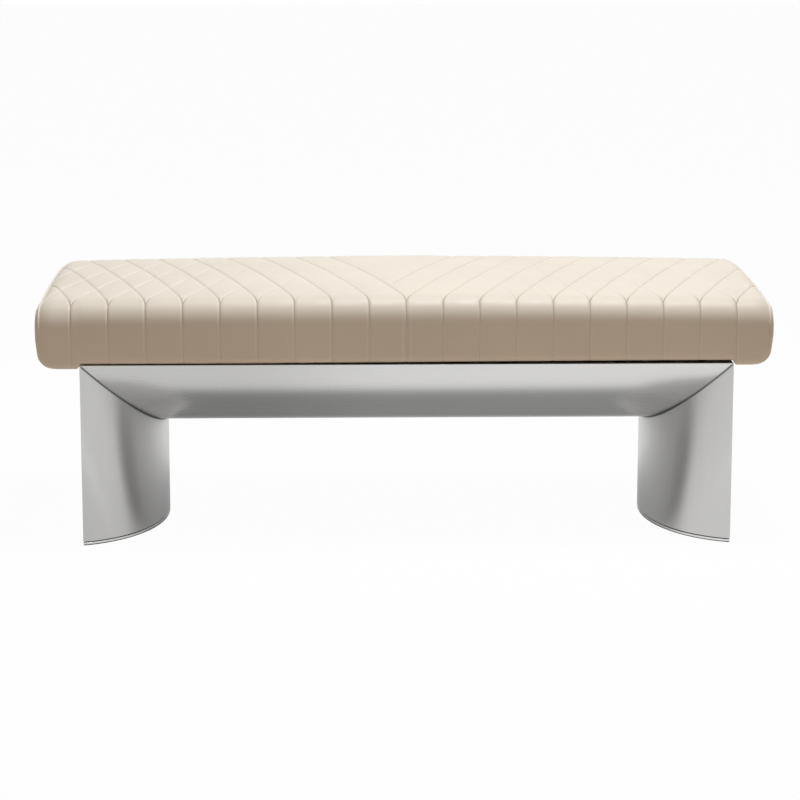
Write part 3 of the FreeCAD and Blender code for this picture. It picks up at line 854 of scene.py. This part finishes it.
class BENCH_OT_quilted_wrap(bpy.types.Operator):
    """Build the quilted leather wrap over the top, the front and the back"""

    bl_idname = "bench.quilted_wrap"
    bl_label = "Quilted wrap"

    def execute(self, context):
        seat = context.scene.bench_seat
        section = SeatSection(seat)
        laid_out, faces = Quilt(section).build()
        laid_out[:, 0] += seat.quilt_shift
        flat = np.column_stack([laid_out[:, :2], np.zeros(len(laid_out))])
        wrap = mesh_piece("quilted_wrap", flat, faces)
        store(wrap, "right_line", laid_out[:, 2])
        store(wrap, "left_line", laid_out[:, 3])
        for sign in SIDES.values():
            with editing(wrap):
                bisect((sign * HALF_SEAM, 0, 0), (sign, 0, 0))
        with editing(wrap):
            bpy.ops.mesh.remove_doubles(threshold=MERGE)
            bpy.ops.mesh.delete_loose()
        x, along = places(wrap)[:, :2].T
        lines = {family: read(wrap, family + "_line") for family in ("right", "left")}
        height, stitched, seam_shading = quilt_relief(section, x, along, lines)
        set_places(wrap, section.skin(x, along, height))
        # the seams' painted shade and highlight, for the leather's shader
        for name, values in seam_shading.items():
            store(wrap, name, values)
        at_end = np.abs(x) > HALF_SEAM - ON_END
        under = np.abs(along) > section.side_end
        swell(wrap, np.where(at_end | under, 1.0, stitched), seat.swell_limit)
        flaps = [end_flap(section, sign) for sign in SIDES.values()]
        make_active(wrap)
        for flap in flaps:
            flap.select_set(True)
        bpy.ops.object.join()
        smooth(wrap, angle=180)
        hand_over(wrap, "seat_leather", "quilted_leather", "quilted_cover")
        return {"FINISHED"}


# ---- Dust cover ----

LINING_SAG = 0.0014
EDGE_RIPPLE = 0.0004
STAPLE_PITCH = 0.068
SAG_X = (felt_end, 0.15, 0.35, bracket_start)  # x over which the sag comes and goes
RIPPLE_Y = (0.15, lining_high.y - 0.006)
LINING_GRID = (204, 72)


class BENCH_OT_dust_sheet(bpy.types.Operator):
    """Build the thin dust cover that is stapled under the seat"""

    bl_idname = "bench.dust_sheet"
    bl_label = "Dust sheet"

    def execute(self, context):
        long, wide = lining_high.x - lining_low.x, lining_high.y - lining_low.y
        deselect_all()
        bpy.ops.mesh.primitive_grid_add(x_subdivisions=LINING_GRID[0],
                                        y_subdivisions=LINING_GRID[1], size=1,
                                        location=(0, 0, lining_high.z))
        cover = take_new("dust_sheet")
        cover.scale = (long, wide, 1)
        settle(cover)
        at = places(cover)
        x, y = np.abs(at[:, 0]), np.abs(at[:, 1])
        bay = smooth_step(x, *SAG_X[:2]) * (1 - smooth_step(x, *SAG_X[2:]))
        across = 1 - (y / lining_high.y) ** 2
        ripple = 0.5 + 0.5 * np.cos(2 * math.pi * x / STAPLE_PITCH)
        edge = smooth_step(y, *RIPPLE_Y)
        at[:, 2] -= bay * (LINING_SAG * across + EDGE_RIPPLE * ripple * edge * (1 - edge) * 4)
        set_places(cover, at)
        face_out(cover)
        modify(cover, "SOLIDIFY", thickness=lining_high.z - lining_low.z, offset=-1)
        smooth(cover)
        hand_over(cover, "black_lining", "black_lining", "dust_cover")
        return {"FINISHED"}


# ---- Wadding and foam under the leather ----

WADDING_DEPTH = 0.0045  # wadding's outside, under the leather's outside
FOAM_DEPTH = 0.0125
CLEAR_OF_FOAM = 0.0004
WADDING_SHORT = 0.004  # the wadding ends this far over the foam's end
PADDING_END = HALF_SEAM - 0.006
ROLL_STEPS = 9  # stations where an end rolls over, closer to its edge
ROLL_LENGTH = 0.026
ROLL_POWER = 1.5
MIDDLE_STATIONS = 27
ACROSS_STEPS = 121


def sheet_over(section, name, depth, last):
    """A sheet that lies over the seat's top, front and back, depth under the leather."""
    rolled = [PADDING_END - ROLL_LENGTH * (k / ROLL_STEPS) ** ROLL_POWER
              for k in range(ROLL_STEPS + 1)]
    between = list(np.linspace(-rolled[-1], rolled[-1], MIDDLE_STATIONS)[1:-1])
    stations = [-x for x in rolled] + between + rolled[::-1]
    along = np.linspace(-last, last, ACROSS_STEPS)
    return sheet_piece(name, [section.skin(x, along, -depth) for x in stations])


class BENCH_OT_padding(bpy.types.Operator):
    """Build the wadding and the foam that the leather is pulled over"""

    bl_idname = "bench.padding"
    bl_label = "Padding"

    def execute(self, context):
        section = SeatSection(context.scene.bench_seat)
        wadding = sheet_over(section, "wadding_layer", WADDING_DEPTH,
                             section.side_end - WADDING_SHORT)
        modify(wadding, "SOLIDIFY", thickness=FOAM_DEPTH - WADDING_DEPTH - CLEAR_OF_FOAM,
               offset=-1)
        smooth(wadding)
        hand_over(wadding, "wadding", "wadding", "wadding_wrap")
        block = sheet_over(section, "foam_block", FOAM_DEPTH, section.side_end)
        at = places(block)
        at[:, 2] = np.maximum(at[:, 2], board_top)
        set_places(block, at)
        with editing(block):
            bpy.ops.mesh.remove_doubles(threshold=MERGE_SOFT)
            bpy.ops.mesh.select_all(action="DESELECT")
            bpy.ops.mesh.select_non_manifold()
            bpy.ops.mesh.edge_face_add()
        face_out(block)
        smooth(block)
        hand_over(block, "seat_foam", "seat_foam", "foam_core")
        return {"FINISHED"}


# ---- End pads and piping ----

OUTLINE_STEPS = 300
PAD_RINGS = (1.0, 0.99, 0.97, 0.94, 0.90, 0.84, 0.75, 0.62, 0.46, 0.28, 0.12)
PAD_BACK_RINGS = tuple(share * 0.995 for share in PAD_RINGS[::3])
PAD_RIM = 0.13  # share of the pad's half height that its rim rounds over
RIM_RISE = 0.78  # share of the bulge that is reached over the rim
LOW_FULLNESS = 0.35  # how much of its bulge a pad has along its bottom
FULL_HEIGHT = 0.06  # and from this height over it the pad is full
PAD_GAP = 0.0006  # the pad's outline lies this far inside the leather's
PAD_BACK = 0.002  # the pad's back lies this far inside its seam
PAD_HELD = 0.35  # share of the bulge up to which the pad is held
PAD_SWELL = 0.0015
PIPING_SINK = 0.018  # length over which an end of the piping sinks in
PIPING_OUT = 0.0006  # the piping stands this far out of the leather
PIPING_FACETS = 12


def pad_mesh(section, sign, name):
    """A closed pad: rings that shrink towards a line along its middle, on the end's curve."""
    along = np.linspace(-section.corner_end, section.corner_end, OUTLINE_STEPS)
    outline = section.skin(sign * HALF_SEAM, along, -PAD_GAP)
    step = np.linalg.norm(np.diff(outline, axis=0), axis=1).mean()
    gap = outline[0] - outline[-1]
    bottom = int(np.linalg.norm(gap) / step)
    outline = np.array([*outline, *(outline[-1] + gap * k / bottom for k in range(1, bottom))])
    count = len(outline)
    heights = np.zeros(count)
    heights[:OUTLINE_STEPS] = section.at(along)[1] - section.bottom
    middle = heights.max() / 2
    middle_z = (outline[:, 2].max() + outline[:, 2].min()) / 2
    reach = section.half - (section.top - section.bottom) / 2
    spine = np.stack([outline[:, 0], np.clip(outline[:, 1], -reach, reach),
                      np.full(count, middle_z)], -1)
    points = []
    for share in PAD_RINGS + PAD_BACK_RINGS:
        ring = spine + (outline - spine) * share
        level = middle + (heights - middle) * share
        ring[:, 0] += sign * (section.tuck_at(heights) - section.tuck_at(level))
        if len(points) < len(PAD_RINGS) * count:
            rim = min(1.0, (1 - share) / PAD_RIM)
            rise = (RIM_RISE * math.sqrt(1 - (1 - rim) ** 2)
                    + (1 - RIM_RISE) * (1 - share ** 2))
            fullness = LOW_FULLNESS + (1 - LOW_FULLNESS) * smooth_step(level, 0.0, FULL_HEIGHT)
            ring[:, 0] += sign * section.seat.pad_bulge * rise * fullness
        else:
            ring[:, 0] -= sign * PAD_BACK
        points += list(ring)
    fronts = len(PAD_RINGS)
    faces = []
    for ring in range(fronts - 1):
        faces += band(ring, ring + 1, count)
    faces += band(0, fronts, count, True)
    for ring in range(fronts, fronts + len(PAD_BACK_RINGS) - 1):
        faces += band(ring, ring + 1, count, True)
    pad = mesh_piece(name, points, faces)
    with editing(pad):
        bpy.ops.mesh.select_all(action="DESELECT")
        bpy.ops.mesh.select_non_manifold()
        bpy.ops.mesh.fill_holes(sides=0)
        bpy.ops.mesh.select_all(action="SELECT")
        bpy.ops.mesh.quads_convert_to_tris(quad_method="BEAUTY", ngon_method="BEAUTY")
        bpy.ops.mesh.tris_convert_to_quads()
        bpy.ops.mesh.remove_doubles(threshold=MERGE_SOFT)
        bpy.ops.mesh.normals_make_consistent(inside=False)
    return pad


class BENCH_OT_end_pads(bpy.types.Operator):
    """Build the padded leather panel on each end of the seat"""

    bl_idname = "bench.end_pads"
    bl_label = "End pads"

    def execute(self, context):
        seat = context.scene.bench_seat
        section = SeatSection(seat)
        for side, sign in SIDES.items():
            pad = pad_mesh(section, sign, f"end_pad_{side}")
            out = sign * places(pad)[:, 0] / (seat.left_stretch if sign < 0 else 1)
            swell(pad, 1.0 * (out < HALF_SEAM + PAD_HELD * seat.pad_bulge), PAD_SWELL)
            smooth(pad, angle=60)
            hand_over(pad, "seat_leather", "seat_leather", f"end_panel_{side}")
        return {"FINISHED"}


def tube(name, line, radius):
    """A round tube along a line of points, closed at both ends."""
    ahead = np.gradient(line, axis=0)
    ahead /= np.linalg.norm(ahead, axis=1, keepdims=True)
    side = np.cross(ahead, (1.0, 0.0, 0.0))
    side /= np.linalg.norm(side, axis=1, keepdims=True)
    up = np.cross(side, ahead)
    turns = [2 * math.pi * k / PIPING_FACETS for k in range(PIPING_FACETS)]
    points = [place + radius * (math.cos(turn) * one + math.sin(turn) * other)
              for place, one, other in zip(line, side, up) for turn in turns]
    faces = []
    for ring in range(len(line) - 1):
        faces += band(ring, ring + 1, PIPING_FACETS)
    faces.append(tuple(range(PIPING_FACETS)))
    faces.append(tuple(reversed(range(len(points) - PIPING_FACETS, len(points)))))
    piece = mesh_piece(name, points, faces)
    face_out(piece)
    return piece


class BENCH_OT_piping(bpy.types.Operator):
    """Build the leather piping on the two end seams"""

    bl_idname = "bench.piping"
    bl_label = "Piping"

    def execute(self, context):
        section = SeatSection(context.scene.bench_seat)
        last = section.side_end
        along = np.linspace(-last, last, OUTLINE_STEPS)
        sunk = smooth_step(np.abs(along), last - PIPING_SINK, last)
        for side, sign in SIDES.items():
            line = section.skin(sign * HALF_SEAM, along, PIPING_OUT - PIPING_SINK / 3 * sunk)
            piping = tube(f"piping_cord_{side}", line, section.seat.piping_radius)
            smooth(piping, angle=50)
            hand_over(piping, "seat_leather", "seat_leather", f"piping_{side}")
        return {"FINISHED"}


# ---- Steel base ----

CUT_EDGE = math.radians(50)  # an edge that turns by more is a cut edge


def section_ellipse(base):
    """Half-axes of the D section's ellipse, and its centre's distance behind the flat face."""
    half_chord = beam_high.y
    semi_depth = half_chord + base.section_overrun
    semi_bulge = base.bulge / (1 - math.sqrt(1 - (half_chord / semi_depth) ** 2))
    return semi_bulge, semi_depth, semi_bulge - base.bulge


def bisect(place, normal):
    """Cuts what is being edited and drops the side that the normal points to."""
    bpy.ops.mesh.select_all(action="SELECT")
    bpy.ops.mesh.bisect(plane_co=place, plane_no=normal, clear_outer=True)


def extrude(move):
    bpy.ops.mesh.select_all(action="SELECT")
    bpy.ops.mesh.extrude_region_move(TRANSFORM_OT_translate={"value": move})


def mitre(sign, off):
    """A point on a mitre plane, set back by off, and the plane's normal towards the beam."""
    normal = Vector((-sign, 0, 1)).normalized()
    return Vector((sign * leg_high.x, 0, beam_high.z)) + normal * off, normal


def soften(piece, width, segments):
    """Rounds the cut edges and shades the rest smooth."""
    modify(piece, "BEVEL", width=width, segments=segments, limit_method="ANGLE",
           angle_limit=CUT_EDGE)
    smooth(piece, angle=30)


def finish_shell(piece, base, centre):
    """Turns a curved sheet away from its centre, and gives it its thickness and edges."""
    with editing(piece):
        bpy.ops.mesh.remove_doubles(threshold=MERGE)
        bpy.ops.mesh.normals_make_consistent(inside=False)
    mesh = piece.data
    if sum((p.center - Vector(centre)).dot(p.normal) for p in mesh.polygons) < 0:
        mesh.flip_normals()
    modify(piece, "SOLIDIFY", thickness=base.skin, offset=-1)
    soften(piece, base.edge, 2)


def upright_piece(base, name, sign, low, high, cut=None):
    """The D section's curved side drawn upwards: a sheet that a plane cuts, or a solid."""
    semi_bulge, semi_depth, behind = section_ellipse(base)
    centre = (sign * (leg_high.x + behind), 0, low)
    deselect_all()
    bpy.ops.mesh.primitive_circle_add(vertices=base.facets, radius=1, location=centre)
    piece = take_new(name)
    with editing(piece):
        bpy.ops.transform.resize(value=(semi_bulge, semi_depth, 1), center_override=centre)
        if not cut:
            bpy.ops.mesh.edge_face_add()
        bisect((sign * leg_high.x, 0, 0), (sign, 0, 0))
        extrude((0, 0, high - low))
        if cut:
            bisect(*cut)
        else:
            bpy.ops.mesh.select_all(action="SELECT")
            bpy.ops.mesh.remove_doubles(threshold=MERGE)
            bpy.ops.mesh.normals_make_consistent(inside=False)
    settle(piece)
    return piece


class BENCH_OT_leg_shells(bpy.types.Operator):
    """Build the curved steel skin of each leg"""

    bl_idname = "bench.leg_shells"
    bl_label = "Leg shells"

    def execute(self, context):
        base = context.scene.bench_base
        for side, sign in SIDES.items():
            shell = upright_piece(base, f"leg_shell_{side}", sign, leg_low.z, beam_high.z,
                                  mitre(sign, -base.mitre_line / 2))
            half_way = (leg_low.z + beam_high.z) / 2
            finish_shell(shell, base, (sign * leg_high.x, 0, half_way))
            hand_over(shell, "base_steel", "base_steel", f"leg_skin_{side}")
        return {"FINISHED"}


class BENCH_OT_beam_shell(bpy.types.Operator):
    """Build the curved steel skin of the beam"""

    bl_idname = "bench.beam_shell"
    bl_label = "Beam shell"

    def execute(self, context):
        base = context.scene.bench_base
        semi_bulge, semi_depth, behind = section_ellipse(base)
        centre = (-leg_high.x, 0, beam_high.z + behind)
        deselect_all()
        bpy.ops.mesh.primitive_circle_add(vertices=base.facets, radius=1, location=centre,
                                          rotation=(0, math.pi / 2, 0))
        shell = take_new("beam_shell")
        settle(shell)
        with editing(shell):
            bpy.ops.transform.resize(value=(1, semi_depth, semi_bulge), center_override=centre)
            bisect((0, 0, beam_high.z), (0, 0, 1))
            extrude((2 * leg_high.x, 0, 0))
            for sign in SIDES.values():
                place, normal = mitre(sign, base.mitre_line / 2)
                bisect(place, -normal)
        finish_shell(shell, base, (0, 0, beam_high.z))
        hand_over(shell, "base_steel", "beam_steel", "beam_skin")
        return {"FINISHED"}


class BENCH_OT_floor_plates(bpy.types.Operator):
    """Build the steel plate under each leg"""

    bl_idname = "bench.floor_plates"
    bl_label = "Floor plates"

    def execute(self, context):
        base = context.scene.bench_base
        for side, sign in SIDES.items():
            plate = upright_piece(base, f"foot_plate_{side}", sign, foot_low.z, foot_high.z)
            soften(plate, base.edge * 2, 3)
            hand_over(plate, "base_steel", "beam_steel", f"floor_plate_{side}")
        return {"FINISHED"}


# ---- Pieces that keep their construction shape ----

NODE_FINISH = {  # by how the nodes' names start; what else shows is zinc hardware
    "plywood": ("seat_board",),
    "black_felt": ("centre_pad",),
    "black_rubber": ("foot_gasket", "foot_pad"),
    "black_steel": ("seat_bracket",),
    "beam_steel": ("beam_top_plate",),
    "base_steel": ("leg_outer_panel",),
    "plain_steel": ("beam_bulkhead", "leg_bulkhead", "foot_bulkhead", "leg_ribs", "beam_rib"),
}


class BENCH_OT_construction_parts(bpy.types.Operator):
    """Finish the parts that keep the shape of the construction model"""

    bl_idname = "bench.construction_parts"
    bl_label = "Construction parts"

    def execute(self, context):
        for name, node in nodes.items():
            kinds = [finish for finish, starts in NODE_FINISH.items() if name.startswith(starts)]
            paint(node, finish_named(kinds[0] if kinds else "zinc_hardware"))
        return {"FINISHED"}


# ---- Stage ----

FLOOR_WHITE = 0.97  # share of plain white that the camera sees in the floor
FLOOR_TONE = (0.72, 0.59, 0.47)  # the light that the floor throws back on the bench
FLOOR_PALE = (0.97, 0.97, 0.97)  # its colour to the eye, where the bench's shadow lies on it
STEEL_LIT = 0.97  # the floor's brightness in steel, lit and in the bench's shade
STEEL_SHADE = 0.32
SHADE_FROM = (-0.22, -0.09)  # where the shade starts and ends, front to back
SHADE_TO = (0.24, 0.60)
SHADE_HALF_LENGTH = (0.60, 0.70)
IN_OTHER_STEEL = 0.70  # the floor, as steel shows it that is itself seen in steel
LEFT_LIT = 0.80  # the lit floor is this much dimmer at the left
LEFT_FROM_TO = (-0.35, 0.0)
WORLD_FILL = 0.24
WORLD_TONE = (1.0, 0.91, 0.82)
LAMP_PLACE, LAMP_AIM = (0.40, -0.15, 3.3), (0.05, 0.0, 0.4)
LAMP_SIZE, LAMP_POWER, LAMP_TINT = (1.1, 0.9), 71, (0.97, 0.99, 1.0)


def floor_in_steel(tree):
    """Brightness of the floor as the steel mirrors it: lit, with an even band of shade."""

    def ramp(value, ends, low, high):
        return tree.spread(value, low, high, *ends, "SMOOTHSTEP")

    x, y = tree.add("SeparateXYZ", {0: tree.place()}).outputs[:2]
    shade = tree.calculate("MULTIPLY", ramp(y, SHADE_FROM, 0, 1), ramp(y, SHADE_TO, 1, 0))
    half_length = ramp(tree.calculate("ABSOLUTE", x), SHADE_HALF_LENGTH, 1, 0)
    shade = tree.calculate("MULTIPLY", shade, half_length)
    once = tree.calculate("MULTIPLY", ramp(x, LEFT_FROM_TO, LEFT_LIT, 1),
                          ramp(shade, (0, 1), STEEL_LIT, STEEL_SHADE))
    depth = tree.add("LightPath").outputs["Glossy Depth"]
    return tree.between(ramp(depth, (1, 2), 0, 1), once, IN_OTHER_STEEL)


def floor_material():
    """Plain pale floor: near white to the eye, with the bench's shadow on it."""
    material = bpy.data.materials.new("studio_floor")
    material.use_nodes = True
    tree = Nodes(material.node_tree)
    tree.nodes.clear()
    glossy = tree.add("LightPath").outputs["Is Glossy Ray"]
    strength = tree.between(glossy, 1.0, floor_in_steel(tree))
    tone = tree.blend(tree.seen_directly(1.0), FLOOR_TONE, FLOOR_PALE)
    white_share = tree.calculate("MULTIPLY", tree.seen_directly(1 / FLOOR_WHITE), FLOOR_WHITE)
    matt = tree.add("BsdfDiffuse", {"Color": tone}).outputs[0]
    white = tree.add("Emission", {"Strength": strength}).outputs[0]
    mix = tree.add("MixShader", {0: white_share, 1: matt, 2: white}).outputs[0]
    tree.add("OutputMaterial", {0: mix})
    return material


def make_world():
    """A dim warm fill on the bench, and plain white to the eye."""
    world = bpy.data.worlds.new("studio")
    bpy.context.scene.world = world
    world.use_nodes = True
    tree = Nodes(world.node_tree)
    background = tree.nodes["Background"].inputs
    eye = tree.seen_directly(1.0)
    tree.feed(background["Color"], tree.blend(eye, WORLD_TONE, (1, 1, 1)))
    tree.feed(background["Strength"], tree.spread(eye, WORLD_FILL, 1.0, 0.0, 1.0))


def make_lamp():
    data = bpy.data.lights.new("overhead", "AREA")
    data.shape = "RECTANGLE"
    data.size, data.size_y = LAMP_SIZE
    data.energy = LAMP_POWER
    data.color = LAMP_TINT
    lamp = bpy.data.objects.new("overhead", data)
    lamp.location = LAMP_PLACE
    aim = Vector(LAMP_AIM) - Vector(LAMP_PLACE)
    lamp.rotation_euler = aim.to_track_quat("-Z", "Y").to_euler()
    bpy.context.scene.collection.objects.link(lamp)


def make_floor(stage):
    deselect_all()
    bpy.ops.mesh.primitive_grid_add(x_subdivisions=4, y_subdivisions=4, size=stage.floor_size,
                                    location=(0, 0, 0))
    floor = take_new("studio_floor")
    paint(floor, floor_material())


def make_camera(stage):
    data = bpy.data.cameras.new("camera")
    data.sensor_width = 36
    data.lens = stage.lens
    data.shift_y = stage.rise
    data.clip_end = 100
    camera = bpy.data.objects.new("camera", data)
    camera.location = stage.camera_place
    camera.rotation_euler = (math.pi / 2 - stage.camera_tilt, 0, -stage.camera_turn)
    bpy.context.scene.collection.objects.link(camera)
    bpy.context.scene.camera = camera


class BENCH_OT_stage(bpy.types.Operator):
    """Build the floor, the light and the camera"""

    bl_idname = "bench.stage"
    bl_label = "Stage"

    def execute(self, context):
        stage = context.scene.bench_stage
        make_camera(stage)
        make_floor(stage)
        make_world()
        make_lamp()
        context.scene.view_settings.view_transform = "Standard"
        return {"FINISHED"}


# ---- Panel, registration and the whole build ----

STEPS = (BENCH_OT_stage, BENCH_OT_construction_parts, BENCH_OT_leg_shells,
         BENCH_OT_beam_shell, BENCH_OT_floor_plates, BENCH_OT_quilted_wrap,
         BENCH_OT_padding, BENCH_OT_end_pads, BENCH_OT_piping, BENCH_OT_dust_sheet)
GROUPS = {"bench_seat": SeatSettings, "bench_base": BaseSettings,
          "bench_finish": FinishSettings, "bench_stage": StageSettings}


class BENCH_PT_panel(bpy.types.Panel):
    """Lists the sizes, the colours and the steps of the bench"""

    bl_idname = "BENCH_PT_panel"
    bl_label = "Luggage bench"
    bl_space_type = "VIEW_3D"
    bl_region_type = "UI"
    bl_category = "Bench"

    def draw(self, context):
        for group in GROUPS:
            box = self.layout.box()
            for name in GROUPS[group].__annotations__:
                box.prop(getattr(context.scene, group), name)
        for step in STEPS:
            self.layout.operator(step.bl_idname)


def register():
    for kind in (*GROUPS.values(), *STEPS, BENCH_PT_panel):
        bpy.utils.register_class(kind)
    for name, group in GROUPS.items():
        setattr(bpy.types.Scene, name, PointerProperty(type=group))


def unregister():
    for name in GROUPS:
        delattr(bpy.types.Scene, name)
    for kind in (BENCH_PT_panel, *STEPS, *GROUPS.values()):
        bpy.utils.unregister_class(kind)


def main():
    """Builds the whole bench, step by step."""
    register()
    for step in STEPS:
        family, name = step.bl_idname.split(".")
        getattr(getattr(bpy.ops, family), name)()
    deselect_all()


if __name__ == "__main__":
    main()
